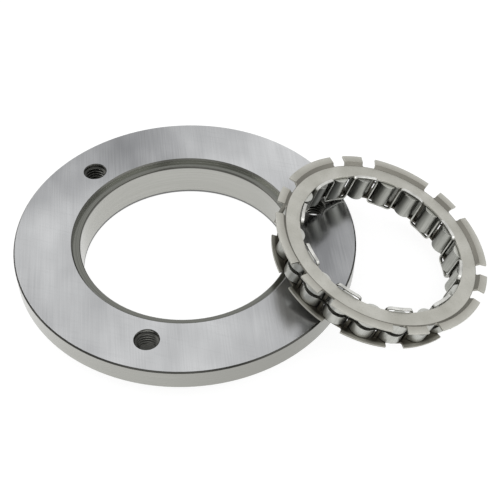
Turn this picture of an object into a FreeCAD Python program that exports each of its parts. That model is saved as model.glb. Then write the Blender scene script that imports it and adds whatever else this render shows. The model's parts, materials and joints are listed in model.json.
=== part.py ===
import FreeCAD, Part
import math
import os

from FreeCAD import Placement, Rotation, Vector

os.makedirs("parts", exist_ok=True)

# Starter clutch outer race with its sprag clutch leaning on it. Lengths in millimetres, angles in degrees.
# The origin is the centre of the bolt circle on the race's ground face, and +Z points out of that face.

# Sprags
SPRAG_COUNT = 20
SPRAG_LENGTH = 9.4
SPRAG_HEIGHT = 6.9
HEAD_TIP_RADIUS = 35.0
HEAD_GAP = 0.96
WAIST_HEIGHT = 1.6
WAIST_HALF_WIDTH = 2.9
FOOT_HALF_WIDTH = 3.0
FOOT_DROP = 1.7
FOOT_SHIFT = 0.3

# Outer race, worked outwards from the space that the sprags need
RIM_THICKNESS = 8.0
RACE_DEPTH = 14.4
HEAD_CLEARANCE = 2.15
RECESS_STEP = 2.55
RECESS_DEPTH = 1.55
SPIGOT_WALL = 5.85
RIM_CHAMFER = 0.5
BORE_CHAMFER = 0.3
SPIGOT_CHAMFER = 0.8
SPIGOT_UNDERCUT = 0.4

# Tapped holes for the M8 bolts that hold the race
BOLT_RADIUS = 4.0
BOLT_COUNT = 3
BOLT_INDEX = 12.6
BOLT_FROM_RECESS = 8.3
BOLT_FROM_EDGE = 12.0
MOUTH_CHAMFER = 0.3

# Sheet retainers that hold the sprags from the front and from behind
SHEET = 0.75
FRONT_FLANGE = 5.05
BEND_CLEARANCE = 2.3
TAB_CLEARANCE = 1.1
JOGGLE_RUN = 1.1
JOGGLE_RISE = 1.1
TAB_PAIRS = 6
WIDE_TAB_ANGLE = 32.5
NARROW_TAB_ANGLE = 11.5
TAB_INDEX = 24.5
NOTCH_ROUND = 0.6
REAR_FLANGE = 5.6
REAR_CLEARANCE = 0.95
REAR_NOTCH_ANGLE = 10.5
REAR_NOTCH_DEPTH = 2.0
REAR_NOTCH_INDEX = 2.2
STUD_BELOW_TIP = 1.65
STUD_LENGTH = 0.95
STUD_WIDTH = 1.0

# Meander spring of flat strip, bent on edge between the sprags' feet
STRIP_WIDTH = 1.15
STRIP_SHEET = 0.6
STRIP_STANDS_PROUD = 0.9
STRIP_SHORT_OF_REAR = 0.05
STRIP_BEND = 0.55
STRIP_BEND_FLATS = 3

# Garter spring in the groove across the heads
GARTER_COIL_RADIUS = 0.45
GARTER_FLATS = 8
GROOVE_WIDTH = 1.6

# Clearances between pieces
END_CLEARANCE = 0.2
STRIP_CLEARANCE = 0.25
GARTER_CLEARANCE = 0.75
SEAT_CLEARANCE = 0.05
REST_GAP = 0.2
LEAN_GAP = 0.2

# How far a cutter reaches past the face that it cuts, and how close two places count as one
OVERRUN = 1.0
SAME_PLACE = 1e-3

# How the clutch lies in the set: it stands on its rear rim and leans on the race's edge
LEAN_ANGLE = 17.2
LEAN_HEADING = -12.9
CLUTCH_INDEX = -2.6

# Radii of the race and the retainers, each from the one before it and a named step
BORE_RADIUS = HEAD_TIP_RADIUS + HEAD_CLEARANCE
RECESS_RADIUS = BORE_RADIUS + RECESS_STEP
SPIGOT_RADIUS = BORE_RADIUS + SPIGOT_WALL
BOLT_CIRCLE_RADIUS = RECESS_RADIUS + BOLT_FROM_RECESS
RACE_RADIUS = BOLT_CIRCLE_RADIUS + BOLT_FROM_EDGE
BEND_RADIUS = BORE_RADIUS - BEND_CLEARANCE
TAB_RADIUS = RECESS_RADIUS - TAB_CLEARANCE
FRONT_INNER_RADIUS = BEND_RADIUS - FRONT_FLANGE
REAR_RADIUS = BORE_RADIUS - REAR_CLEARANCE
REAR_INNER_RADIUS = REAR_RADIUS - REAR_FLANGE

# Sizes of the small pieces that follow from the ones above
SPRAG_PITCH = 360.0 / SPRAG_COUNT
FOOT_TIP_RADIUS = HEAD_TIP_RADIUS - SPRAG_HEIGHT
FOOT_EDGE_RADIUS = FOOT_TIP_RADIUS + FOOT_DROP
HEAD_EDGE_RADIUS = FOOT_EDGE_RADIUS + WAIST_HEIGHT
HEAD_HALF_WIDTH = math.pi * HEAD_EDGE_RADIUS / SPRAG_COUNT - HEAD_GAP / 2
STUD_OUTER_RADIUS = HEAD_TIP_RADIUS - STUD_BELOW_TIP
GARTER_RADIUS = STUD_OUTER_RADIUS + SEAT_CLEARANCE + GARTER_COIL_RADIUS
GROOVE_FLOOR_RADIUS = GARTER_RADIUS - GARTER_COIL_RADIUS - GARTER_CLEARANCE
STRIP_OUTER_RADIUS = FRONT_INNER_RADIUS - STRIP_CLEARANCE
STRIP_INNER_RADIUS = STRIP_OUTER_RADIUS - STRIP_WIDTH

# Heights in the clutch's own frame: front face at height 0, rear below it
SPRAG_FRONT = -SHEET - END_CLEARANCE
SPRAG_REAR = SPRAG_FRONT - SPRAG_LENGTH
REAR_FRONT = SPRAG_REAR - END_CLEARANCE
REAR_BACK = REAR_FRONT - SHEET
GROOVE_HEIGHT = (SPRAG_FRONT + SPRAG_REAR) / 2
STRIP_TOP = STRIP_STANDS_PROUD
STRIP_BOTTOM = REAR_BACK + STRIP_SHORT_OF_REAR
ORIGIN = Vector(0, 0, 0)
UP = Vector(0, 0, 1)


def turned(shape, angle):
    """A copy of the shape, turned about the vertical axis."""
    copy = shape.copy()
    copy.rotate(ORIGIN, UP, angle)
    return copy


def polar(radius, angle, height=0.0):
    turn = math.radians(angle)
    return Vector(radius * math.cos(turn), radius * math.sin(turn), height)


def revolved(points):
    """A ring from its section, given as (radius, height) points in order."""
    corners = [Vector(radius, 0, height) for radius, height in points]
    section = Part.Face(Part.makePolygon(corners + corners[:1]))
    return section.revolve(ORIGIN, UP, 360)


def fused(shapes):
    return shapes[0].multiFuse(shapes[1:]).removeSplitter()


def race_ring():
    """The ground ring: a flat rim, a recess for the clutch's tabs and a locating spigot below."""
    ledge = -RECESS_DEPTH
    rim_back = -RIM_THICKNESS
    foot = -RACE_DEPTH
    return revolved([
        (RECESS_RADIUS, ledge),
        (RECESS_RADIUS, -RIM_CHAMFER),
        (RECESS_RADIUS + RIM_CHAMFER, 0),
        (RACE_RADIUS - RIM_CHAMFER, 0),
        (RACE_RADIUS, -RIM_CHAMFER),
        (RACE_RADIUS, rim_back + RIM_CHAMFER),
        (RACE_RADIUS - RIM_CHAMFER, rim_back),
        (SPIGOT_RADIUS, rim_back),
        (SPIGOT_RADIUS - SPIGOT_UNDERCUT, rim_back - SPIGOT_UNDERCUT),
        (SPIGOT_RADIUS, rim_back - 2 * SPIGOT_UNDERCUT),
        (SPIGOT_RADIUS, foot + SPIGOT_CHAMFER),
        (SPIGOT_RADIUS - SPIGOT_CHAMFER, foot),
        (BORE_RADIUS + SPIGOT_CHAMFER, foot),
        (BORE_RADIUS, foot + SPIGOT_CHAMFER),
        (BORE_RADIUS, ledge - BORE_CHAMFER),
        (BORE_RADIUS + BORE_CHAMFER, ledge),
    ])


def bolt_hole():
    """A tapped hole through the rim, with a chamfer at each mouth."""
    reach = MOUTH_CHAMFER + OVERRUN
    centre = Vector(BOLT_CIRCLE_RADIUS, 0, -RIM_THICKNESS)
    hole = Part.makeCylinder(BOLT_RADIUS, RIM_THICKNESS, centre)
    wide = BOLT_RADIUS + reach
    top_start = Vector(BOLT_CIRCLE_RADIUS, 0, -MOUTH_CHAMFER)
    top = Part.makeCone(BOLT_RADIUS, wide, reach, top_start)
    low_start = Vector(BOLT_CIRCLE_RADIUS, 0, -RIM_THICKNESS + MOUTH_CHAMFER)
    low = Part.makeCone(BOLT_RADIUS, wide, reach, low_start, Vector(0, 0, -1))
    return hole.fuse(top).fuse(low)


def outer_race():
    holes = [turned(bolt_hole(), BOLT_INDEX + i * 360.0 / BOLT_COUNT) for i in range(BOLT_COUNT)]
    return race_ring().cut(Part.makeCompound(holes))


def sector(inner, outer, angle, low, high):
    """A wedge of a ring centred on +X, which cuts a notch with rounded corners at its inner end."""
    half = angle / 2.0
    start = polar(inner, -half, low)
    middle = polar(inner, 0, low)
    end = polar(inner, half, low)
    far_end = polar(outer, half, low)
    far_start = polar(outer, -half, low)
    inner_arc = Part.Arc(start, middle, end).toShape()
    sides = [Part.makeLine(end, far_end), Part.makeLine(far_end, far_start), Part.makeLine(far_start, start)]
    wedge = Part.Face(Part.Wire([inner_arc] + sides)).extrude(Vector(0, 0, high - low))
    corners = [e for e in wedge.Edges if upright_at(e, inner)]
    return wedge.makeFillet(NOTCH_ROUND, corners)


def upright_at(edge, radius):
    """True for an edge that runs straight up at this distance from the axis."""
    first, last = edge.Vertexes[0].Point, edge.Vertexes[-1].Point
    upright = math.hypot(first.x - last.x, first.y - last.y) < SAME_PLACE
    return upright and abs(math.hypot(first.x, first.y) - radius) < SAME_PLACE


def front_retainer():
    """A flat annulus with a joggled flange, cut into wide and narrow tabs by turns."""
    ring = revolved([
        (FRONT_INNER_RADIUS, 0),
        (BEND_RADIUS, 0),
        (BEND_RADIUS + JOGGLE_RUN, JOGGLE_RISE),
        (TAB_RADIUS, JOGGLE_RISE),
        (TAB_RADIUS, JOGGLE_RISE - SHEET),
        (BEND_RADIUS + JOGGLE_RUN + SHEET / 2, JOGGLE_RISE - SHEET),
        (BEND_RADIUS + SHEET / 2, -SHEET),
        (FRONT_INNER_RADIUS, -SHEET),
    ])
    pair = 360.0 / TAB_PAIRS
    notch = (pair - WIDE_TAB_ANGLE - NARROW_TAB_ANGLE) / 2.0
    side = (WIDE_TAB_ANGLE + notch) / 2.0
    cutter = sector(BEND_RADIUS, TAB_RADIUS + SHEET, notch, -2 * SHEET, JOGGLE_RISE + SHEET)
    cutters = []
    for i in range(TAB_PAIRS):
        middle = TAB_INDEX + i * pair
        cutters.append(turned(cutter, middle - side))
        cutters.append(turned(cutter, middle + side))
    return ring.cut(Part.makeCompound(cutters))


def stud():
    """A bar between two sprags, from the rear retainer up to the front one."""
    inner = STUD_OUTER_RADIUS - STUD_LENGTH
    height = -SHEET - REAR_FRONT
    return Part.makeBox(STUD_LENGTH, STUD_WIDTH, height, Vector(inner, -STUD_WIDTH / 2, REAR_FRONT))


def rear_retainer():
    """A flat annulus with notches in its rim, and a bar in every gap between two sprags."""
    ring = revolved([
        (REAR_INNER_RADIUS, REAR_FRONT),
        (REAR_RADIUS, REAR_FRONT),
        (REAR_RADIUS, REAR_BACK),
        (REAR_INNER_RADIUS, REAR_BACK),
    ])
    floor = REAR_RADIUS - REAR_NOTCH_DEPTH
    cutter = sector(floor, REAR_RADIUS + SHEET, REAR_NOTCH_ANGLE, REAR_BACK - SHEET, REAR_FRONT + SHEET)
    notches = [turned(cutter, REAR_NOTCH_INDEX + i * 2 * SPRAG_PITCH) for i in range(SPRAG_COUNT // 2)]
    ring = ring.cut(Part.makeCompound(notches))
    bars = [turned(stud(), (i + 0.5) * SPRAG_PITCH) for i in range(SPRAG_COUNT)]
    return fused([ring] + bars)


def sprag_section():
    """The outline of one sprag: a round head for the bore, a narrow foot for the hub and a waist between."""
    waist = (HEAD_EDGE_RADIUS + FOOT_EDGE_RADIUS) / 2

    def at(across, outward):
        return Vector(outward, across, 0)

    head_left = at(-HEAD_HALF_WIDTH, HEAD_EDGE_RADIUS)
    head_right = at(HEAD_HALF_WIDTH, HEAD_EDGE_RADIUS)
    foot_left = at(FOOT_SHIFT - FOOT_HALF_WIDTH, FOOT_EDGE_RADIUS)
    foot_right = at(FOOT_SHIFT + FOOT_HALF_WIDTH, FOOT_EDGE_RADIUS)
    edges = [
        Part.Arc(foot_left, at(FOOT_SHIFT, FOOT_TIP_RADIUS), foot_right).toShape(),
        Part.Arc(foot_right, at(FOOT_SHIFT + WAIST_HALF_WIDTH, waist), head_right).toShape(),
        Part.Arc(head_right, at(0, HEAD_TIP_RADIUS), head_left).toShape(),
        Part.Arc(head_left, at(FOOT_SHIFT - WAIST_HALF_WIDTH, waist), foot_left).toShape(),
    ]
    return Part.Wire(edges)


def sprag():
    """One wedging block with the garter spring's groove across the middle of its head."""
    section = Part.Face(sprag_section())
    section.translate(Vector(0, 0, SPRAG_REAR))
    block = section.extrude(Vector(0, 0, SPRAG_LENGTH))
    corner = Vector(GROOVE_FLOOR_RADIUS, -HEAD_HALF_WIDTH, GROOVE_HEIGHT - GROOVE_WIDTH / 2)
    groove = Part.makeBox(SPRAG_HEIGHT, 2 * HEAD_HALF_WIDTH, GROOVE_WIDTH, corner)
    return block.cut(groove)


def garter_spring():
    """The closed ring of the garter spring, kept plain, which lies on the bars and runs through the grooves."""
    points = []
    for i in range(GARTER_FLATS):
        turn = math.radians((i + 0.5) * 360.0 / GARTER_FLATS)
        radius = GARTER_RADIUS + GARTER_COIL_RADIUS * math.cos(turn)
        points.append((radius, GROOVE_HEIGHT + GARTER_COIL_RADIUS * math.sin(turn)))
    return revolved(points)


def rounded(across, height, radius, start):
    """Points along a quarter turn of a bend, from this angle on."""
    points = []
    for i in range(STRIP_BEND_FLATS + 1):
        turn = math.radians(start + i * 90.0 / STRIP_BEND_FLATS)
        points.append((across + radius * math.cos(turn), height + radius * math.sin(turn)))
    return points


def strip_window(width, tall, closed):
    """The cutter for one loop of the strip: round corners at its closed end and a flared mouth."""
    corner = STRIP_BEND
    flare = STRIP_BEND + STRIP_SHEET
    half = width / 2
    wide = half + flare
    mouth = closed + tall - flare
    far = closed + tall + OVERRUN
    outline = rounded(-half + corner, closed + corner, corner, 180)
    outline += rounded(half - corner, closed + corner, corner, 270)
    outline += list(reversed(rounded(wide, mouth, flare, 90)))
    outline += [(wide, far), (-wide, far)]
    outline += list(reversed(rounded(-wide, mouth, flare, 0)))
    inside = STRIP_INNER_RADIUS - OVERRUN
    corners = [Vector(inside, across, height) for across, height in outline]
    section = Part.Face(Part.makePolygon(corners + corners[:1]))
    return section.extrude(Vector(STRIP_WIDTH + 2 * OVERRUN, 0, 0))


def meander_spring():
    """A flat strip bent on edge: it runs up and down and closes round the sprags at front and rear by turns."""
    tube = revolved([
        (STRIP_INNER_RADIUS, STRIP_TOP),
        (STRIP_OUTER_RADIUS, STRIP_TOP),
        (STRIP_OUTER_RADIUS, STRIP_BOTTOM),
        (STRIP_INNER_RADIUS, STRIP_BOTTOM),
    ])
    pitch_width = math.pi * (STRIP_INNER_RADIUS + STRIP_OUTER_RADIUS) / SPRAG_COUNT
    tall = STRIP_TOP - STRIP_BOTTOM - STRIP_SHEET
    rear_closed = strip_window(pitch_width - STRIP_SHEET, tall, STRIP_BOTTOM + STRIP_SHEET)
    front_closed = rear_closed.copy()
    middle = (STRIP_TOP + STRIP_BOTTOM) / 2
    front_closed.rotate(Vector(0, 0, middle), Vector(1, 0, 0), 180)
    cutters = []
    for i in range(SPRAG_COUNT):
        window = front_closed if i % 2 == 0 else rear_closed
        cutters.append(turned(window, i * SPRAG_PITCH))
    return tube.cut(Part.makeCompound(cutters))


def clutch_place():
    """Where the clutch's frame lies: its rear rim stands on the floor and its rear face rests on the race."""
    lean = math.radians(LEAN_ANGLE)
    floor = -RACE_DEPTH + REST_GAP
    rear_centre = floor + REAR_RADIUS * math.sin(lean)
    reach = (LEAN_GAP - rear_centre) / math.tan(lean)
    side = math.sqrt(REAR_INNER_RADIUS ** 2 - (reach / math.cos(lean)) ** 2)
    distance = math.sqrt(RACE_RADIUS ** 2 - side ** 2) + reach
    along = distance - REAR_BACK * math.sin(lean)
    height = rear_centre - REAR_BACK * math.cos(lean)
    lean_turn = Rotation(Vector(0, 1, 0), LEAN_ANGLE)
    heading_turn = Rotation(UP, LEAN_HEADING)
    index_turn = Rotation(UP, CLUTCH_INDEX)
    place = polar(along, LEAN_HEADING, height)
    return Placement(place, heading_turn.multiply(lean_turn).multiply(index_turn))


def clutch_pieces():
    """Every piece of the clutch by name, in the clutch's own frame."""
    pieces = {
        "front_retainer": front_retainer(),
        "rear_retainer": rear_retainer(),
        "meander_spring": meander_spring(),
        "garter_spring": garter_spring(),
    }
    for i in range(SPRAG_COUNT):
        pieces["sprag_%02d" % (i + 1)] = turned(sprag(), i * SPRAG_PITCH)
    return pieces


def save(name, shape):
    if not shape.isValid():
        raise ValueError(name + " isn't a valid solid")
    shape.exportStep("parts/" + name + ".step")
    print("%-16s %2d solid  %9.1f mm3" % (name, len(shape.Solids), shape.Volume))


place = clutch_place()
print("clutch frame at", [round(v, 3) for v in place.Base])
save("outer_race", outer_race())
for name, piece in clutch_pieces().items():
    piece.Placement = place.multiply(piece.Placement)
    save(name, piece)
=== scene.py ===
# %% [markdown]
# # A starter clutch set: ground outer race and sprag clutch
# This file dresses a finished mechanical model, as if for a catalogue picture. The steel ring lies on the
# table. The sprag clutch, which drops into the ring's bore when it is at work, leans on the ring's edge.
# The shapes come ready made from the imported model, and nothing here moves or resizes them. What is added is
# what a camera sees and a solid model lacks: surface finishes, screw threads and spring coils.

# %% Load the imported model
import json
import math

import bpy
from mathutils import Matrix, Vector


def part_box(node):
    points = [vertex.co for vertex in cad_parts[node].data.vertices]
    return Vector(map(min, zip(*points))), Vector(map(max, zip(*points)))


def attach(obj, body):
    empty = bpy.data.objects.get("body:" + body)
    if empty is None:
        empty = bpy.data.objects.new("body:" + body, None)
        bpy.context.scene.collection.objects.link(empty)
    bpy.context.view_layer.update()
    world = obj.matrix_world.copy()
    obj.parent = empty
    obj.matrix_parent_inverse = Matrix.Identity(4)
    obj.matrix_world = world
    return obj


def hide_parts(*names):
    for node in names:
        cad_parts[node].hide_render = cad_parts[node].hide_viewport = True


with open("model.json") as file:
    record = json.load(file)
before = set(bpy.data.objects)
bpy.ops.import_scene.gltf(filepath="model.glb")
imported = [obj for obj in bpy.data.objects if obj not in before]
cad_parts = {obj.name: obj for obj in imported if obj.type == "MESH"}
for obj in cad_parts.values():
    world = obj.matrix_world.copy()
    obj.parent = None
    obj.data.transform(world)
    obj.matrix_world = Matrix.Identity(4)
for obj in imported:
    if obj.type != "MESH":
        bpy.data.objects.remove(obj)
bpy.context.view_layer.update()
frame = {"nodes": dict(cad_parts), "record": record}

# %% [markdown]
# ## Sizes taken from the model
# Every size below is read from the record that comes with the model, so a finish or a thread lands where
# the solid already is. The clutch leans, so it has axes of its own: the record gives its axis and its
# centre, and the first sprag's pivot shows where its count of sprags begins.

# %% Read the sizes
MM = 0.001
record = frame["record"]
mounts = {mount["name"]: mount for mount in record["mounts"]}
bolts = mounts["bolt_circle"]["dims"]
bolt_radius = bolts["pcd_mm"] / 2 * MM
hole_radius = bolts["hole_r_mm"] * MM
bore_radius = mounts["race_bore"]["dims"]["r_mm"] * MM
rim_back = mounts["rim_back_face"]["pos_m"][2]
race_low, race_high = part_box("outer_race")
ring_radius = (race_high.x - race_low.x) / 2
floor_height = race_low.z

seat = mounts["inner_race_seat"]
clutch_axis = Vector(seat["axis"]).normalized()
clutch_centre = Vector(seat["pos_m"])
half_sprag = seat["dims"]["length_mm"] / 2 * MM
hinges = [joint for joint in record["behaviour"]["joints"] if joint["type"] == "hinge"]
sprag_count = len(hinges)
first_sprag = Vector(hinges[0]["pos_m"]) - clutch_centre
first_sprag = (first_sprag - first_sprag.dot(clutch_axis) * clutch_axis).normalized()
clutch_axes = Matrix((first_sprag, clutch_axis.cross(first_sprag), clutch_axis)).transposed()
clutch_turn = clutch_axes.to_euler()
print("ring radius %.1f mm, %d sprags, clutch leans %.1f degrees" % (
    ring_radius / MM, sprag_count, math.degrees(clutch_axis.angle(Vector((0, 0, 1))))))

# %% [markdown]
# ## The camera
# The picture is square and was taken from above and in front with a longish lens, which keeps circles
# looking like clean ellipses. The place and the three turns below put the ring's edges where the photograph
# has them.

# %% Place the camera
camera_data = bpy.data.cameras.new("catalogue_camera")
camera_data.lens = 72.245
camera_data.sensor_width = 36.0
camera = bpy.data.objects.new("catalogue_camera", camera_data)
camera.location = (0.0, -0.246235, 0.254809)
camera.rotation_euler = (math.radians(43.050), math.radians(-0.472), math.radians(-4.784))
bpy.context.scene.collection.objects.link(camera)
bpy.context.scene.camera = camera
print("camera stands %.0f mm from the ring's centre" % (camera.location.length / MM))

# %% [markdown]
# ## Helpers for materials
# Colours are written as the hex values that a paint program shows. Blender reckons in linear light, so one
# function turns them over. A second small function adds a shader node, sets it up, links it and hands back
# its outputs by name, which lets each material below be written as a list of steps.

# %% Two helpers
def linear(hex_colour):
    """The linear colour of an sRGB hex value such as "#B4B6B8"."""
    parts = [int(hex_colour[i:i + 2], 16) / 255 for i in (1, 3, 5)]
    return [c / 12.92 if c <= 0.04045 else ((c + 0.055) / 1.055) ** 2.4 for c in parts] + [1.0]


def add(material, kind, inputs=None, **settings):
    """Adds one node and returns its outputs. A socket given as an input is linked, and a value is set."""
    tree = material.node_tree
    node = tree.nodes.new(kind)
    for name, value in settings.items():
        setattr(node, name, value)
    for name, value in (inputs or {}).items():
        in_use = [socket for socket in node.inputs if socket.enabled and socket.name == name]
        socket = in_use[0] if in_use else node.inputs[name]
        if isinstance(value, bpy.types.NodeSocket):
            tree.links.new(value, socket)
        else:
            socket.default_value = value
    return {socket.name: socket for socket in node.outputs if socket.enabled}


print("#808080 is linear %.3f" % linear("#808080")[0])

# %% [markdown]
# ## The first and last steps of every metal
# Each metal here starts as an empty material. Each ends alike too: its pattern gives a very fine relief on
# top of rounded edges, and the metal shader takes that, the colour and the roughness.

# %% Start and close a metal
def new_material(name):
    """A material with an empty node tree."""
    material = bpy.data.materials.new(name)
    material.use_nodes = True
    material.node_tree.nodes.clear()
    return material


def close_metal(steel, colour, rough, relief, strength, depth, rounding=None, metallic=1.0):
    """Adds the relief, the metal shader and the output, and returns the material."""
    fine = {"Strength": strength, "Distance": depth, "Height": relief}
    if rounding is not None:
        fine["Normal"] = rounding
    bump = add(steel, "ShaderNodeBump", fine)["Normal"]
    shader = add(steel, "ShaderNodeBsdfPrincipled", {
        "Base Color": colour, "Metallic": metallic, "Roughness": rough, "Normal": bump})
    add(steel, "ShaderNodeOutputMaterial", {"Surface": shader["BSDF"]})
    return steel


CUTTER_DEPTH = 0.01 * MM
TUMBLE_DEPTH = 0.02 * MM
print("a cutter mark is %.2f mm deep" % (CUTTER_DEPTH / MM))

# %% [markdown]
# ## Patterns with a real size
# A noise texture has no size of its own. Here the coordinates are divided by a length in millimetres first,
# so that one grain of the noise is that big on the steel. A grain that is long in one direction is a
# scratch or a cutter mark. The coordinates are the piece's own, so the pattern moves with the piece.

# %% Grain of a known size
def grain(material, size_mm, turn=(0.0, 0.0, 0.0), detail=2.0, distortion=0.0):
    """A noise value whose grains have this size along three axes, turned by these angles."""
    own = add(material, "ShaderNodeTexCoord")["Object"]
    scaled = add(material, "ShaderNodeMapping", {
        "Vector": own, "Rotation": turn, "Scale": [length * MM for length in size_mm],
    }, vector_type="TEXTURE")["Vector"]
    return add(material, "ShaderNodeTexNoise", {
        "Vector": scaled, "Scale": 1.0, "Detail": detail, "Distortion": distortion})["Fac"]


print("grain sizes are given in mm, and one mm is", MM, "in the scene")

# %% [markdown]
# ## Where a point lies on a ring
# Both big pieces are rings, and their finish changes with distance from the axis, with height and with the
# angle round it. The first function turns a point of the piece into those three numbers, for any ring in
# the set. The other two tell which way the surface faces, and where an edge has been rubbed.

# %% Place on a ring
def ring_place(material, centre=(0.0, 0.0, 0.0), turn=(0.0, 0.0, 0.0)):
    """Radius, height and angle of a point about a ring's centre and axis."""
    own = add(material, "ShaderNodeTexCoord")["Object"]
    about = add(material, "ShaderNodeMapping", {
        "Vector": own, "Location": centre, "Rotation": turn}, vector_type="TEXTURE")["Vector"]
    point = add(material, "ShaderNodeSeparateXYZ", {"Vector": about})
    across = add(material, "ShaderNodeCombineXYZ", {"X": point["X"], "Y": point["Y"]})["Vector"]
    radius = add(material, "ShaderNodeVectorMath", {"Vector": across}, operation="LENGTH")["Value"]
    angle = add(material, "ShaderNodeMath", {0: point["Y"], 1: point["X"]}, operation="ARCTAN2")["Value"]
    return radius, point["Z"], angle


def facing(material, axis):
    """How squarely the surface faces along an axis: 1 along it, 0 across it, -1 against it."""
    straight = add(material, "ShaderNodeTexCoord")["Normal"]
    return add(material, "ShaderNodeVectorMath", {0: straight, 1: axis}, operation="DOT_PRODUCT")["Value"]


def rubbed_edges(material, rounding):
    """1 along the edges, where handling has rubbed the finish, and 0 on the flats."""
    straight = add(material, "ShaderNodeNewGeometry")["Normal"]
    match = add(material, "ShaderNodeVectorMath", {
        0: rounding, 1: straight}, operation="DOT_PRODUCT")["Value"]
    return add(material, "ShaderNodeMapRange", {
        "Value": match, "From Min": 0.99, "From Max": 0.80})["Result"]


print("the clutch's centre is %.1f mm from the ring's axis" % (clutch_centre.xy.length / MM))

# %% [markdown]
# ## Finish 1: ground bearing steel
# The outer race is a hardened bearing steel. Its flat faces were ground, which leaves fine straight
# scratches all one way, a few across them, and clouds where the wheel cut a little differently. The face
# also has wide lighter and darker patches, a painted reflection of the room in the near-mirror steel. They
# are laid as three soft waves round the ring, with one, two and three patches to the turn.

# %% Ground bearing steel: the face
GRIND_SCRATCH = (0.45, 26.0, 1.0)   # real scratches are about 0.05 mm wide, drawn coarser so that they show
CROSS_SCRATCH = (16.0, 0.70, 1.0)
WHEEL_CLOUD = (20.0, 34.0, 30.0)
FACE_REFLECTION_WAVES = ((1.0, 218, 0.084), (2.0, 113, 0.21), (3.0, 133, 0.186))   # patches, turn in degrees, strength
SCRATCH_SHARE = 0.30


def ground_face(steel, angle):
    """The colour of a ground flat with its painted reflection patches, then its scratches and its clouds."""
    cloud = grain(steel, WHEEL_CLOUD)
    scratch = grain(steel, GRIND_SCRATCH, turn=(0.0, 0.0, math.radians(2)), detail=3.0)
    cross = grain(steel, CROSS_SCRATCH, turn=(0.0, 0.0, math.radians(-20)), distortion=0.3)
    light = add(steel, "ShaderNodeMath", {
        0: scratch, 1: SCRATCH_SHARE, 2: cloud}, operation="MULTIPLY_ADD")["Value"]
    # painted reflection: wide light and dark patches of the room, laid as waves round the ring
    for patches, turn, strength in FACE_REFLECTION_WAVES:
        along = add(steel, "ShaderNodeMath", {
            0: angle, 1: patches, 2: -math.radians(turn)}, operation="MULTIPLY_ADD")["Value"]
        wave = add(steel, "ShaderNodeMath", {0: along}, operation="COSINE")["Value"]
        light = add(steel, "ShaderNodeMath", {
            0: wave, 1: strength, 2: light}, operation="MULTIPLY_ADD")["Value"]
    light = add(steel, "ShaderNodeMapRange", {
        "Value": light, "From Min": 0.17, "From Max": 1.19})["Result"]
    colour = add(steel, "ShaderNodeMix", {
        "Factor": light, "A": linear("#858688"), "B": linear("#D8D9DA")}, data_type="RGBA")["Result"]
    crossed = add(steel, "ShaderNodeMapRange", {
        "Value": cross, "From Min": 0.55, "From Max": 0.85, "To Max": 0.16})["Result"]
    colour = add(steel, "ShaderNodeMix", {
        "Factor": crossed, "A": colour, "B": linear("#8A8B8C")}, data_type="RGBA")["Result"]
    return colour, scratch, cloud


print("scratches %.2f mm wide, clouds about %.0f mm" % (GRIND_SCRATCH[0], WHEEL_CLOUD[0]))

# %% [markdown]
# The other surfaces of the race were turned on a lathe, which leaves fine rings. The sunk ledge in front of
# the bore is left dark, and the lip of the bore under it is painted darker still, as a painted dark
# reflection of its chamfer. The flats at the back are lighter. The walls have a warmer grey, and those of
# the bolt holes are darker. The outside wall is lighter on one side, a painted highlight. Each edge is broken
# with a small chamfer, painted as a thin dark line, a painted dark reflection. Height, radius and the way
# the surface faces tell all these places apart.

# %% Ground bearing steel: which place is which
# each pair says where a mask starts to rise and where it is full
FACE_DEPTH = (-0.9 * MM, -1.2 * MM)
LIP_DEPTH = (-2.6 * MM, -2.2 * MM)
BORE_WALL = (bore_radius + 0.9 * MM, bore_radius + 0.5 * MM)
RECESS_WALL = (bore_radius + 3.4 * MM, bore_radius + 3.2 * MM)
BORE_EDGES = (bore_radius + 6.0 * MM, bore_radius + 4.0 * MM)
HOLE_BAND = 4.3 * MM


def race_places(steel, radius, height, up):
    """A mask for each place on the race: 1 there, 0 elsewhere."""
    level = add(steel, "ShaderNodeMath", {0: up}, operation="ABSOLUTE")["Value"]
    ramps = {
        "flat": (level, 0.90, 0.97),
        "sloping": (level, 0.10, 0.25),
        "sunk": (height, *FACE_DEPTH),
        "bore lip": (height, *LIP_DEPTH),
        "bore": (radius, *BORE_WALL),
        "recess": (radius, *RECESS_WALL),
        "bore edges": (radius, *BORE_EDGES),
    }
    places = {}
    for name, (value, start, end) in ramps.items():
        places[name] = add(steel, "ShaderNodeMapRange", {
            "Value": value, "From Min": start, "From Max": end})["Result"]
    places["front"] = add(steel, "ShaderNodeMath", {0: up, 1: 0.0}, operation="GREATER_THAN")["Value"]
    places["hole"] = add(steel, "ShaderNodeMath", {
        0: radius, 1: bolt_radius, 2: HOLE_BAND}, operation="COMPARE")["Value"]
    return places


print("the ledge lies below %.1f mm" % (FACE_DEPTH[1] / MM))

# %% Ground bearing steel: the turned flats and walls
TURNED_RING = (30.0, 30.0, 0.35)    # a real feed mark is about 0.1 mm, drawn coarser so that it shows
LEDGE_RING = 0.30 * MM


def turned_flats(steel, radius, place):
    """The colour of the dark ledge in front and of the lighter flats at the back."""
    groove = add(steel, "ShaderNodeTexNoise", {
        "W": add(steel, "ShaderNodeMath", {0: radius, 1: LEDGE_RING}, operation="DIVIDE")["Value"],
        "Scale": 1.0, "Detail": 1.0}, noise_dimensions="1D")["Fac"]
    ledge = add(steel, "ShaderNodeMix", {
        "Factor": groove, "A": linear("#4C4D49"), "B": linear("#8C8D87")}, data_type="RGBA")["Result"]
    back = add(steel, "ShaderNodeMix", {
        "Factor": groove, "A": linear("#8A8B86"), "B": linear("#B2B3AE")}, data_type="RGBA")["Result"]
    return add(steel, "ShaderNodeMix", {
        "Factor": place["front"], "A": back, "B": ledge}, data_type="RGBA")["Result"]


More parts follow.
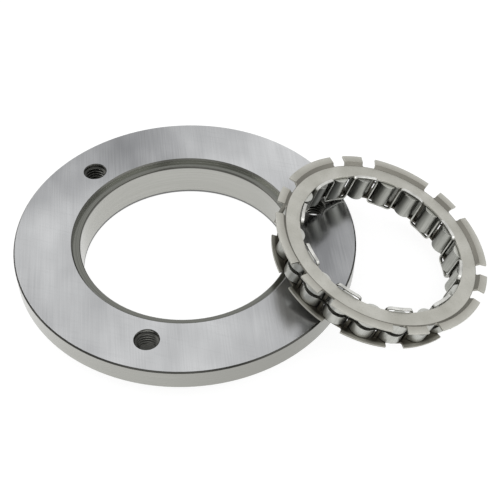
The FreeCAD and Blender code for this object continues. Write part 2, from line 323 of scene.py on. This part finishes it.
def turned_walls(steel, angle, place, ring):
    """The colour of the outside wall, painted lighter on one side as a painted highlight, and of the walls of
    the recess, bore and holes.
    """
    # painted highlight: the outside wall is lighter on one side
    across = add(steel, "ShaderNodeMath", {0: angle}, operation="COSINE")["Value"]
    painted_side_highlight = add(steel, "ShaderNodeMapRange", {
        "Value": across, "From Min": 0.5, "From Max": -1.0})["Result"]
    wall = add(steel, "ShaderNodeMix", {
        "Factor": painted_side_highlight, "A": linear("#979792"), "B": linear("#AFAFAA")}, data_type="RGBA")["Result"]
    # painted dark reflection: the lip of the bore under the ledge is darker, for its chamfer
    bore = add(steel, "ShaderNodeMix", {
        "Factor": place["bore lip"], "A": linear("#AFAFAA"), "B": linear("#42423E")},
        data_type="RGBA")["Result"]
    ringed = add(steel, "ShaderNodeMapRange", {
        "Value": ring, "From Min": 0.35, "From Max": 0.75, "To Max": 0.20})["Result"]
    for mask, over in (
            (place["recess"], linear("#A3A49E")), (place["bore"], bore),
            (ringed, linear("#83837E")), (place["hole"], linear("#92928D"))):
        wall = add(steel, "ShaderNodeMix", {"Factor": mask, "A": wall, "B": over}, data_type="RGBA")["Result"]
    return wall


print("feed marks %.2f mm apart" % TURNED_RING[2])

# %% Ground bearing steel: the whole race
def ground_bearing_steel():
    steel = new_material("ground_bearing_steel")
    radius, height, angle = ring_place(steel)
    place = race_places(steel, radius, height, facing(steel, (0.0, 0.0, 1.0)))
    ring = grain(steel, TURNED_RING)
    face, scratch, cloud = ground_face(steel, angle)
    flats = turned_flats(steel, radius, place)
    face = add(steel, "ShaderNodeMix", {
        "Factor": place["sunk"], "A": face, "B": flats}, data_type="RGBA")["Result"]
    # painted dark reflection on the chamfers, a thin dark line along each edge
    painted_chamfer_dark = add(steel, "ShaderNodeMix", {
        "Factor": cloud, "A": linear("#2A2A28"), "B": linear("#4A4A47")}, data_type="RGBA")["Result"]
    painted_chamfer_dark = add(steel, "ShaderNodeMix", {
        "Factor": place["bore edges"], "A": painted_chamfer_dark, "B": linear("#52524E")}, data_type="RGBA")["Result"]
    colour = turned_walls(steel, angle, place, ring)
    for mask, over in ((place["sloping"], painted_chamfer_dark), (place["flat"], face)):
        colour = add(steel, "ShaderNodeMix", {
            "Factor": mask, "A": colour, "B": over}, data_type="RGBA")["Result"]

    rough = add(steel, "ShaderNodeMapRange", {
        "Value": cloud, "From Min": 0.3, "From Max": 0.7, "To Min": 0.17, "To Max": 0.27})["Result"]
    relief = add(steel, "ShaderNodeMix", {"Factor": place["flat"], "A": ring, "B": scratch})["Result"]
    rounding = add(steel, "ShaderNodeBevel", {"Radius": 0.12 * MM}, samples=4)["Normal"]
    return close_metal(steel, colour, rough, relief, 0.2, CUTTER_DEPTH, rounding)


race_steel = ground_bearing_steel()
print(race_steel.name, "has", len(race_steel.node_tree.nodes), "nodes")

# %% [markdown]
# ## Finish 2: tumbled sheet steel
# The two retainers were stamped from thin sheet and tumbled with stones to take the burrs off. That gives
# an even, slightly warm grey without direction, a fine grain of dents, and edges that are rubbed a little
# brighter. A dark line of painted shade lies in the bend between the flange and the tabs, and the tabs are
# painted a little darker toward it, as painted shade.

# %% Tumbled sheet steel: the front retainer
TUMBLE_DENT = (0.5, 0.5, 0.5)
TUMBLE_TONE = (8.0, 8.0, 8.0)
BEND_LINE = bore_radius - 2.3 * MM
BEND_WIDTH = 0.16 * MM
TAB_SHADE = (bore_radius + 0.9 * MM, bore_radius - 1.2 * MM)    # the shade starts, and is full


def front_sheet(steel, radius, tilt, clean, dent, rounding):
    """The colour of the flange and the tabs, with painted shade in the bend and on the tabs toward it."""
    # painted shade: the tabs darken toward the bend
    painted_tab_shade = add(steel, "ShaderNodeMapRange", {
        "Value": radius, "From Min": TAB_SHADE[0], "From Max": TAB_SHADE[1]})["Result"]
    on_tab = add(steel, "ShaderNodeMath", {0: radius, 1: BEND_LINE}, operation="GREATER_THAN")["Value"]
    painted_tab_shade = add(steel, "ShaderNodeMath", {0: painted_tab_shade, 1: on_tab}, operation="MULTIPLY")["Value"]
    dented = add(steel, "ShaderNodeMapRange", {
        "Value": dent, "From Min": 0.55, "From Max": 0.8, "To Max": 0.3})["Result"]
    rubbed = add(steel, "ShaderNodeMath", {
        0: rubbed_edges(steel, rounding), 1: 0.7}, operation="MULTIPLY")["Value"]
    # painted shade in the bend: its slope and the crease line are dark
    sloping = add(steel, "ShaderNodeMath", {0: tilt, 1: 0.70, 2: 0.12}, operation="COMPARE")["Value"]
    crease = add(steel, "ShaderNodeMath", {
        0: radius, 1: BEND_LINE, 2: BEND_WIDTH}, operation="COMPARE")["Value"]
    bend = add(steel, "ShaderNodeMath", {0: sloping, 1: crease}, operation="MAXIMUM")["Value"]
    colour = add(steel, "ShaderNodeMix", {
        "Factor": clean, "A": linear("#ABAAA2"), "B": linear("#BDBCB5")}, data_type="RGBA")["Result"]
    for mask, over in (
            (painted_tab_shade, "#A09E96"), (dented, "#87857B"), (rubbed, "#CFCEC6"), (bend, "#76746D")):
        colour = add(steel, "ShaderNodeMix", {
            "Factor": mask, "A": colour, "B": linear(over)}, data_type="RGBA")["Result"]
    return colour


print("the bend is at radius %.1f mm" % (BEND_LINE / MM))

# %% [markdown]
# The rear retainer is the same sheet, but it has kept a thin matt scale, so it shines less. Its face is a
# darker grey and its rim is lighter. The bars between the sprags are darkest, as painted shade between the
# sprags.

# %% Tumbled sheet steel: the rear retainer and the bars
# each pair says where a mask starts to rise and where it is full
REAR_START = (half_sprag, half_sprag - 0.3 * MM)
BAR_REACH = (bore_radius - 1.6 * MM, bore_radius - 2.4 * MM)
SCALE_METALLIC = 0.45


def rear_sheet(steel, radius, front, tilt, clean):
    """The colour behind the front flange with painted shade on the bars, and a mask of the bars."""
    rim = add(steel, "ShaderNodeMapRange", {
        "Value": tilt, "From Min": 0.5, "From Max": 0.2, "To Max": 0.8})["Result"]
    # painted shade on the bars between the sprags
    bars = add(steel, "ShaderNodeMapRange", {
        "Value": radius, "From Min": BAR_REACH[0], "From Max": BAR_REACH[1]})["Result"]
    not_back = add(steel, "ShaderNodeMapRange", {
        "Value": front, "From Min": -0.7, "From Max": -0.5})["Result"]
    bars = add(steel, "ShaderNodeMath", {0: bars, 1: not_back}, operation="MULTIPLY")["Value"]
    colour = add(steel, "ShaderNodeMix", {
        "Factor": clean, "A": linear("#8E8C83"), "B": linear("#A3A198")}, data_type="RGBA")["Result"]
    for mask, over in ((rim, "#B7B5AC"), (bars, "#55524A")):
        colour = add(steel, "ShaderNodeMix", {
            "Factor": mask, "A": colour, "B": linear(over)}, data_type="RGBA")["Result"]
    return colour, bars


print("the scale's metallic is", SCALE_METALLIC)

# %% Tumbled sheet steel: both retainers
def tumbled_sheet_steel():
    steel = new_material("tumbled_sheet_steel")
    radius, height, _ = ring_place(steel, clutch_centre, clutch_turn)
    front = facing(steel, clutch_axis)
    tilt = add(steel, "ShaderNodeMath", {0: front}, operation="ABSOLUTE")["Value"]
    dent = grain(steel, TUMBLE_DENT, detail=3.0)
    clean = add(steel, "ShaderNodeMapRange", {
        "Value": grain(steel, TUMBLE_TONE), "From Min": 0.3, "From Max": 0.7})["Result"]
    rounding = add(steel, "ShaderNodeBevel", {"Radius": 0.18 * MM}, samples=4)["Normal"]
    before = front_sheet(steel, radius, tilt, clean, dent, rounding)
    after, bars = rear_sheet(steel, radius, front, tilt, clean)
    behind = add(steel, "ShaderNodeMapRange", {
        "Value": height, "From Min": REAR_START[0], "From Max": REAR_START[1]})["Result"]
    colour = add(steel, "ShaderNodeMix", {
        "Factor": behind, "A": before, "B": after}, data_type="RGBA")["Result"]

    scaled = add(steel, "ShaderNodeMath", {0: 1.0, 1: bars}, operation="SUBTRACT")["Value"]
    scaled = add(steel, "ShaderNodeMath", {0: behind, 1: scaled}, operation="MULTIPLY")["Value"]
    bare = add(steel, "ShaderNodeMapRange", {
        "Value": scaled, "To Min": 1.0, "To Max": SCALE_METALLIC})["Result"]
    rough = add(steel, "ShaderNodeMapRange", {
        "Value": dent, "From Min": 0.3, "From Max": 0.7, "To Min": 0.36, "To Max": 0.48})["Result"]
    return close_metal(steel, colour, rough, dent, 0.3, TUMBLE_DEPTH, rounding, bare)


cage_steel = tumbled_sheet_steel()
print(cage_steel.name, "has", len(cage_steel.node_tree.nodes), "nodes")

# %% [markdown]
# ## Finish 3: drawn and barrelled sprag steel
# Each sprag was cut from a drawn bar of its own section, hardened and barrelled. The draw marks run along
# the piece. Across each sprag one flank is painted light and the other painted dark, as painted light and
# shade on its curve, and the heads and the ends carry a painted highlight. The angle round the clutch,
# counted in sprags, says how far across its own sprag a point lies.

# %% Drawn sprag steel
DRAW_MARK = (0.35, 0.35, 8.0)       # real draw marks are finer, drawn coarser so that they show
SPRAG_TONE = (5.0, 5.0, 5.0)
SPRAG_NECK = bore_radius - 4.6 * MM
SPRAG_HEAD = SPRAG_NECK + 1.5 * MM


def drawn_sprag_steel():
    steel = new_material("drawn_sprag_steel")
    radius, _, angle = ring_place(steel, clutch_centre, clutch_turn)
    count = add(steel, "ShaderNodeMath", {
        0: angle, 1: sprag_count / (2 * math.pi)}, operation="MULTIPLY")["Value"]
    across = add(steel, "ShaderNodeMath", {0: count, 1: 0.5, 2: -0.5}, operation="WRAP")["Value"]
    mark = grain(steel, DRAW_MARK, turn=clutch_turn)
    rounding = add(steel, "ShaderNodeBevel", {"Radius": 0.2 * MM}, samples=4)["Normal"]

    # painted light and shade across each sprag: the mask called rolled is the painted light flank, the next
    # one the painted shaded flank
    rolled = add(steel, "ShaderNodeMapRange", {
        "Value": across, "From Min": 0.30, "From Max": -0.12}, interpolation_type="SMOOTHSTEP")["Result"]
    painted_flank_shade = add(steel, "ShaderNodeMapRange", {
        "Value": across, "From Min": -0.22, "From Max": -0.36, "To Max": 0.55})["Result"]
    # painted highlight on the heads and on the end faces
    head = add(steel, "ShaderNodeMapRange", {
        "Value": radius, "From Min": SPRAG_NECK, "From Max": SPRAG_HEAD, "To Max": 0.8})["Result"]
    end = add(steel, "ShaderNodeMapRange", {
        "Value": facing(steel, clutch_axis), "From Min": 0.8, "From Max": 0.95})["Result"]
    bright = add(steel, "ShaderNodeMath", {0: head, 1: end}, operation="MAXIMUM")["Value"]
    toned = add(steel, "ShaderNodeMapRange", {
        "Value": grain(steel, SPRAG_TONE), "From Min": 0.3, "From Max": 0.7, "To Max": 0.25})["Result"]
    drawn = add(steel, "ShaderNodeMapRange", {
        "Value": mark, "From Min": 0.5, "From Max": 0.8, "To Max": 0.3})["Result"]
    colour = add(steel, "ShaderNodeMix", {
        "Factor": rolled, "A": linear("#565752"), "B": linear("#B0B1AB")}, data_type="RGBA")["Result"]
    for mask, over in (
            (painted_flank_shade, "#6E6F69"), (bright, "#C6C7C2"), (toned, "#6F706A"), (drawn, "#595A55"),
            (rubbed_edges(steel, rounding), "#C2C3BE")):
        colour = add(steel, "ShaderNodeMix", {
            "Factor": mask, "A": colour, "B": linear(over)}, data_type="RGBA")["Result"]

    rough = add(steel, "ShaderNodeMapRange", {
        "Value": mark, "From Min": 0.3, "From Max": 0.7, "To Min": 0.32, "To Max": 0.44})["Result"]
    return close_metal(steel, colour, rough, mark, 0.25, CUTTER_DEPTH, rounding)


sprag_steel = drawn_sprag_steel()
print(sprag_steel.name, "has", len(sprag_steel.node_tree.nodes), "nodes")

# %% [markdown]
# ## Finish 4: bright rolled spring strip
# The meander spring is stainless strip, rolled bright and bent on edge. It is the shiniest piece of the
# set: its rolled skin is almost a mirror, with faint marks of the rolls along it. Where its loops stand out
# in front of the sprags, the side that faces forward carries a painted highlight, and their other sides are
# painted darker as painted shade.

# %% Bright rolled strip
ROLL_MARK = (0.6, 0.6, 5.0)
STRIP_TONE = (3.0, 3.0, 3.0)
LOOP_START = (half_sprag - 0.4 * MM, half_sprag + 1.0 * MM)     # the loop's look starts, and is full


def bright_rolled_strip():
    steel = new_material("bright_rolled_spring_strip")
    _, height, _ = ring_place(steel, clutch_centre, clutch_turn)
    mark = grain(steel, ROLL_MARK, turn=clutch_turn)
    toned = add(steel, "ShaderNodeMapRange", {
        "Value": grain(steel, STRIP_TONE, detail=1.0), "From Min": 0.3, "From Max": 0.7})["Result"]
    colour = add(steel, "ShaderNodeMix", {
        "Factor": toned, "A": linear("#9C9C96"), "B": linear("#B8B8B2")}, data_type="RGBA")["Result"]
    crown = add(steel, "ShaderNodeMix", {
        "Factor": toned, "A": linear("#B8B8B4"), "B": linear("#DCDCD8")}, data_type="RGBA")["Result"]
    # painted highlight on the side of each loop that faces forward, painted shade on its other sides
    painted_front_highlight = add(steel, "ShaderNodeMapRange", {
        "Value": facing(steel, clutch_axis), "From Min": 0.35, "From Max": 0.75})["Result"]
    loop = add(steel, "ShaderNodeMix", {
        "Factor": painted_front_highlight, "A": linear("#74746E"), "B": crown}, data_type="RGBA")["Result"]
    proud = add(steel, "ShaderNodeMapRange", {
        "Value": height, "From Min": LOOP_START[0], "From Max": LOOP_START[1]})["Result"]
    marked = add(steel, "ShaderNodeMapRange", {
        "Value": mark, "From Min": 0.55, "From Max": 0.8, "To Max": 0.25})["Result"]
    for mask, over in ((proud, loop), (marked, linear("#8F8F8B"))):
        colour = add(steel, "ShaderNodeMix", {
            "Factor": mask, "A": colour, "B": over}, data_type="RGBA")["Result"]
    rough = add(steel, "ShaderNodeMapRange", {
        "Value": mark, "From Min": 0.3, "From Max": 0.7, "To Min": 0.18, "To Max": 0.28})["Result"]
    rounding = add(steel, "ShaderNodeBevel", {"Radius": 0.2 * MM}, samples=4)["Normal"]
    return close_metal(steel, colour, rough, mark, 0.2, CUTTER_DEPTH, rounding)


strip_steel = bright_rolled_strip()
print(strip_steel.name, "has", len(strip_steel.node_tree.nodes), "nodes")

# %% [markdown]
# ## Finish 5: oiled spring wire
# The garter spring is blued carbon wire that works in oil, so it is nearly black with a soft wet shine.

# %% Oiled spring wire
OIL_FILM = (1.5, 1.5, 1.5)


def oiled_spring_wire():
    steel = new_material("oiled_blued_spring_wire")
    film = grain(steel, OIL_FILM)
    wet = add(steel, "ShaderNodeMapRange", {"Value": film, "From Min": 0.3, "From Max": 0.7})["Result"]
    colour = add(steel, "ShaderNodeMix", {
        "Factor": wet, "A": linear("#1E1E1C"), "B": linear("#3A3935")}, data_type="RGBA")["Result"]
    rough = add(steel, "ShaderNodeMapRange", {
        "Value": film, "From Min": 0.3, "From Max": 0.7, "To Min": 0.25, "To Max": 0.45})["Result"]
    return close_metal(steel, colour, rough, film, 0.2, CUTTER_DEPTH)


garter_steel = oiled_spring_wire()
print(garter_steel.name, "has", len(garter_steel.node_tree.nodes), "nodes")

# %% [markdown]
# ## Put the finishes on the solids
# Each solid keeps its shape and takes its finish in its object's material slot. The names of the pieces say
# what they are, so a short rule finds each one's finish.

# %% Dress the solids
def finish_for(name):
    """The finish of one solid. The two retainers have no rule of their own and get the sheet steel."""
    if name.startswith("sprag"):
        return sprag_steel
    return {
        "outer_race": race_steel,
        "meander_spring": strip_steel,
        "garter_spring": garter_steel,
    }.get(name, cage_steel)


for name, solid in frame["nodes"].items():
    for slot in solid.material_slots:
        slot.link = "OBJECT"
        slot.material = finish_for(name)
print("dressed", len(frame["nodes"]), "solids")

# %% [markdown]
# ## Helpers for swept pieces
# Three details below are made alike: a small section is carried along a line, and each ring of points is
# joined to the next by quads. The line is worked out by a formula, so a mesh that is built point by point
# stays clean and even, with no modifier. The first helper measures a solid of the clutch about the clutch's
# own axis, so that what is swept stands exactly where the solid was.

# %% Measure, join and make
def reach_and_height(name):
    """The nearest and farthest point from the clutch's axis, then the lowest and highest, of one solid."""
    inverse = clutch_axes.transposed()
    points = [inverse @ (vertex.co - clutch_centre) for vertex in frame["nodes"][name].data.vertices]
    reach = [math.hypot(point.x, point.y) for point in points]
    heights = [point.z for point in points]
    return min(reach), max(reach), min(heights), max(heights)


def tube_faces(rings, sides, closed=True):
    """Quads that join each ring of points to the next, and the last to the first where the tube is closed."""
    faces = []
    for i in range(rings if closed else rings - 1):
        this, following = i * sides, (i + 1) % rings * sides
        for k in range(sides):
            beside = (k + 1) % sides
            faces.append((this + k, this + beside, following + beside, following + k))
    return faces


def new_piece(name, vertices, faces, material, smooth=False):
    """A mesh object of these points and faces, in one finish."""
    mesh = bpy.data.meshes.new(name)
    mesh.from_pydata(vertices, [], faces)
    mesh.validate()
    mesh.polygons.foreach_set("use_smooth", [smooth] * len(mesh.polygons))
    mesh.materials.append(material)
    piece = bpy.data.objects.new(name, mesh)
    bpy.context.scene.collection.objects.link(piece)
    return piece


strip_inside, strip_outside, strip_bottom, strip_top = reach_and_height("meander_spring")
print("the strip is %.2f mm wide and %.1f mm tall" % (
    (strip_outside - strip_inside) / MM, (strip_top - strip_bottom) / MM))

# %% [markdown]
# ## The meander spring's bends
# The solid strip has bends of three flats. The real one is bent round a pin, so its loops end in wide,
# smooth bends. The strip is swept again here along a square wave whose corners are quarter turns. The wave
# is wrapped round the clutch's axis, and its loops close over a sprag in front and behind by turns.

# %% Draw the line of the strip
FRONT_BEND = 1.60 * MM
REAR_BEND = 1.45 * MM
BEND_STEPS = 6
LOOP_STEPS = 4


def bend(across, height, radius, start, stop, level):
    """A quarter turn between two angles. At the angle called level the strip runs round the clutch."""
    points = []
    for i in range(BEND_STEPS + 1):
        turn = math.radians(start + (stop - start) * i / BEND_STEPS)
        heading = turn - math.radians(level)
        points.append((across + radius * math.cos(turn), height + radius * math.sin(turn), heading))
    return points


def strip_line(pitch, bottom, top):
    """Distance round the clutch, height and heading of each point along the middle of the strip."""
    points = []
    for i in range(sprag_count):
        bar = (i + 0.5) * pitch
        if i % 2 == 0:
            points += bend(bar - FRONT_BEND, top - FRONT_BEND, FRONT_BEND, 90, 0, 90)
            points += bend(bar + REAR_BEND, bottom + REAR_BEND, REAR_BEND, 180, 270, 270)
        else:
            points += bend(bar - REAR_BEND, bottom + REAR_BEND, REAR_BEND, 270, 360, 270)
            points += bend(bar + FRONT_BEND, top - FRONT_BEND, FRONT_BEND, 180, 90, 90)
        start, height, _ = points[-1]
        straight = pitch - 2 * (start - bar)
        points += [(start + straight * k / LOOP_STEPS, height, 0.0) for k in range(1, LOOP_STEPS)]
    return points


print("bends of %.2f mm in front and %.2f mm behind" % (FRONT_BEND / MM, REAR_BEND / MM))

# %% [markdown]
# The section is the flat strip with its four corners broken, because a rolled strip has no sharp corner. It
# is turned with the line, so that the strip always stands on edge.

# %% Sweep the strip
STRIP_SHEET = 0.60 * MM
STRIP_CORNER = 0.12 * MM
SHARP_EDGE = math.radians(30)


def strip_section(half_width, half_sheet):
    """The eight points of the section: how far out, and how far across the sheet."""
    section = []
    for out, up in ((1, -1), (-1, -1), (-1, 1), (1, 1)):
        wide = (out * (half_width - STRIP_CORNER), up * half_sheet)
        tall = (out * half_width, up * (half_sheet - STRIP_CORNER))
        section += [wide, tall] if out == up else [tall, wide]
    return section


def meander_strip():
    """The flat strip, carried along its line."""
    middle = (strip_inside + strip_outside) / 2
    half_sheet = STRIP_SHEET / 2
    line = strip_line(2 * math.pi * middle / sprag_count, strip_bottom + half_sheet, strip_top - half_sheet)
    section = strip_section((strip_outside - strip_inside) / 2, half_sheet)
    vertices = []
    for along, height, heading in line:
        angle = along / middle
        outward = Vector((math.cos(angle), math.sin(angle), 0))
        sideways = Vector((-math.sin(angle), math.cos(angle), 0))
        across = Vector((0, 0, 1)) * math.cos(heading) - sideways * math.sin(heading)
        for out, up in section:
            point = outward * (middle + out) + Vector((0, 0, height)) + across * up
            vertices.append(clutch_centre + clutch_axes @ point)
    faces = tube_faces(len(line), len(section))
    strip = new_piece("meander_strip", vertices, faces, strip_steel, smooth=True)
    strip.data.set_sharp_from_angle(angle=SHARP_EDGE)
    return strip


strip = meander_strip()
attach(strip, "clutch")
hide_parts("meander_spring")
print(strip.name, "has", len(strip.data.polygons), "faces")

# %% [markdown]
# ## The garter spring's coil
# The solid model has a plain ring where the garter spring runs. The real one is a long, thin, close-wound
# coil whose ends are hooked together. Its wire is swept here as a small closed tube that winds round the
# ring's line. A loop places each ring of points, so the number of turns is one named value.

# %% Wind the garter spring
COIL_TURNS = 480                    # the real coil has about 800 turns, wound coarser so that they show
WIRE_RADIUS = 0.20 * MM
WIRE_SIDES = 5
STEPS_PER_COIL = 8

garter_inside, garter_outside, garter_bottom, garter_top = reach_and_height("garter_spring")
ring_line = (garter_outside + garter_inside) / 2
coil_radius = (garter_outside - garter_inside) / 2
coil_height = (garter_top + garter_bottom) / 2
print("garter ring radius %.2f mm, coil radius %.2f mm, height %.2f mm" % (
    ring_line / MM, coil_radius / MM, coil_height / MM))


# %% Build the coil's mesh
def garter_coil():
    """A closed helix of wire round the ring's line, as a tube of quads."""
    steps = COIL_TURNS * STEPS_PER_COIL
    helix = coil_radius - WIRE_RADIUS
    upward = Vector((0, 0, 1))
    vertices = []
    for i in range(steps):
        along = 2 * math.pi * i / steps
        wind = 2 * math.pi * i / STEPS_PER_COIL
        outward = Vector((math.cos(along), math.sin(along), 0))
        spoke = outward * math.cos(wind) + upward * math.sin(wind)
        centre = outward * ring_line + upward * coil_height + spoke * helix
        forward = Vector((-math.sin(along), math.cos(along), 0)) * (ring_line / COIL_TURNS)
        forward += (upward * math.cos(wind) - outward * math.sin(wind)) * helix
        side = forward.normalized().cross(spoke)
        for k in range(WIRE_SIDES):
            turn = 2 * math.pi * k / WIRE_SIDES
            point = centre + (spoke * math.cos(turn) + side * math.sin(turn)) * WIRE_RADIUS
            vertices.append(clutch_centre + clutch_axes @ point)
    return new_piece("garter_coil", vertices, tube_faces(steps, WIRE_SIDES), garter_steel, smooth=True)


coil = garter_coil()
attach(coil, "clutch")
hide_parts("garter_spring")
print(coil.name, "has", len(coil.data.polygons), "faces")

# %% [markdown]
# ## Screw threads
# The three bolt holes are tapped M8 x 1.25. The solid has plain holes of the thread's outside radius, and
# here the thread's ridge is added: a trapezium that winds down the wall and fades out at both mouths. It is
# built point by point, because that gives clean even quads and the exact pitch.

# %% Sizes of the threads
PITCH = 1.25 * MM
RIDGE_DEPTH = 0.66 * MM
RIDGE_FOOT = 0.52 * MM
RIDGE_TOP = 0.15 * MM
IN_THE_WALL = 0.04 * MM
STEPS_PER_TURN = 48
MOUTH = 0.35 * MM
FADED = 0.05                        # the share of its depth that the ridge has at its very ends
FADE_RATE = 3.0                     # it is at full depth a third of a turn from them
FIRST_HOLE = math.radians(12.6)
thread_top = -MOUTH - RIDGE_FOOT
thread_bottom = rim_back + MOUTH + RIDGE_FOOT
thread_turns = (thread_top - thread_bottom) / PITCH
print("threads of %.1f turns" % thread_turns)

# %% Cut the threads
def thread_ridge(name, centre):
    """A helical ridge on the wall of one hole, closed at both ends."""
    steps = round(thread_turns * STEPS_PER_TURN)
    vertices = []
    for i in range(steps + 1):
        angle = 2 * math.pi * thread_turns * i / steps
        height = thread_top + (thread_bottom - thread_top) * i / steps
        to_end = min(i, steps - i) / STEPS_PER_TURN
        inner = hole_radius - RIDGE_DEPTH * min(1.0, FADED + FADE_RATE * to_end)
        outer = hole_radius + IN_THE_WALL
        for radius, rise in (
                (outer, RIDGE_FOOT), (inner, RIDGE_TOP), (inner, -RIDGE_TOP), (outer, -RIDGE_FOOT)):
            vertices.append((
                centre.x + radius * math.cos(angle), centre.y - radius * math.sin(angle), height + rise))
    last = 4 * steps
    ends = [(3, 2, 1, 0), (last, last + 1, last + 2, last + 3)]
    return new_piece(name, vertices, tube_faces(steps + 1, 4, closed=False) + ends, race_steel)


for i in range(bolts["count"]):
    turn = FIRST_HOLE + 2 * math.pi / bolts["count"] * i
    hole = Vector((bolt_radius * math.cos(turn), bolt_radius * math.sin(turn), 0))
    thread = thread_ridge("bolt_thread_%d" % (i + 1), hole)
    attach(thread, "race")
print("cut", bolts["count"], "threads")

# %% [markdown]
# ## Table, backdrop and light
# The set stands on a plain white table in soft light. The table is a light grey that takes the shadow, and
# the rest of its whiteness is its own glow for the camera and for reflections, so it meets the backdrop
# with no edge. The glow fades out under the ring's rim as a painted shadow, where no light would reach a
# real table.

# %% Lay the table
TABLE_GLOW = 0.86
BELOW_RIM_GLOW = 0.10
SHADE_OUTSIDE = ring_radius - 5.0 * MM
SHADE_INSIDE = ring_radius - 11.0 * MM
TABLE_HALF = 1.5


def seen_straight(material):
    """1 for what the camera, a mirror or a clear thing sees, and 0 for light that falls on the set."""
    path = add(material, "ShaderNodeLightPath")
    seen = path["Is Camera Ray"]
    for ray in ("Is Glossy Ray", "Is Transmission Ray"):
        seen = add(material, "ShaderNodeMath", {0: seen, 1: path[ray]}, operation="MAXIMUM")["Value"]
    return seen


def white_table():
    paint = new_material("matt_white_table_paint")
    radius, _, _ = ring_place(paint)
    # painted shadow: the table's glow fades out under the ring's rim
    painted_rim_shadow = add(paint, "ShaderNodeMapRange", {
        "Value": radius, "From Min": SHADE_OUTSIDE, "From Max": SHADE_INSIDE,
    }, interpolation_type="SMOOTHSTEP")["Result"]
    outside = add(paint, "ShaderNodeMath", {0: radius, 1: bore_radius}, operation="GREATER_THAN")["Value"]
    painted_rim_shadow = add(paint, "ShaderNodeMath", {0: painted_rim_shadow, 1: outside}, operation="MULTIPLY")["Value"]
    share = add(paint, "ShaderNodeMapRange", {
        "Value": painted_rim_shadow, "To Min": TABLE_GLOW, "To Max": BELOW_RIM_GLOW})["Result"]
    share = add(paint, "ShaderNodeMath", {0: share, 1: seen_straight(paint)}, operation="MULTIPLY")["Value"]
    matt = add(paint, "ShaderNodeBsdfDiffuse", {"Color": linear("#9A9A9A")})["BSDF"]
    glow = add(paint, "ShaderNodeEmission", {"Color": (1, 1, 1, 1), "Strength": share})["Emission"]
    both = add(paint, "ShaderNodeAddShader", {0: matt, 1: glow})["Shader"]
    add(paint, "ShaderNodeOutputMaterial", {"Surface": both})
    return paint


corners = [(x * TABLE_HALF, y * TABLE_HALF, floor_height) for x, y in ((-1, -1), (1, -1), (1, 1), (-1, 1))]
table = new_piece("table", corners, [(0, 1, 2, 3)], white_table())
print("table at %.1f mm" % (floor_height / MM))

# %% Paint the backdrop
ROOM_LIGHT = 0.45

world = bpy.data.worlds.new("white_room")
world.use_nodes = True
world.node_tree.nodes.clear()
strength = add(world, "ShaderNodeMapRange", {
    "Value": seen_straight(world), "To Min": ROOM_LIGHT, "To Max": 1.0})["Result"]
room = add(world, "ShaderNodeBackground", {"Color": (1, 1, 1, 1), "Strength": strength})["Background"]
add(world, "ShaderNodeOutputWorld", {"Surface": room})
bpy.context.scene.world = world
print("backdrop is white, and lights the set at", ROOM_LIGHT)

# %% [markdown]
# Three big soft lamps stand round the set, because a bigger lamp gives a softer highlight on metal. The key
# lamp stands at the left and a little behind, where its mirror image misses the ring's face.

# %% Hang the lamps
LAMPS = (
    ("key_lamp", (-0.85, 0.30, 0.60), 0.80, 3.0),
    ("fill_lamp", (0.60, -0.35, 0.55), 0.70, 1.6),
    ("front_lamp", (-0.20, -0.70, 0.45), 0.60, 0.9),
)

for name, place, size, power in LAMPS:
    data = bpy.data.lights.new(name, "AREA")
    data.size = size
    data.energy = power
    lamp = bpy.data.objects.new(name, data)
    lamp.location = place
    lamp.rotation_euler = (-Vector(place)).to_track_quat("-Z", "Y").to_euler()
    bpy.context.scene.collection.objects.link(lamp)
bpy.context.scene.view_settings.view_transform = "Standard"
print("hung", len(LAMPS), "soft lamps")
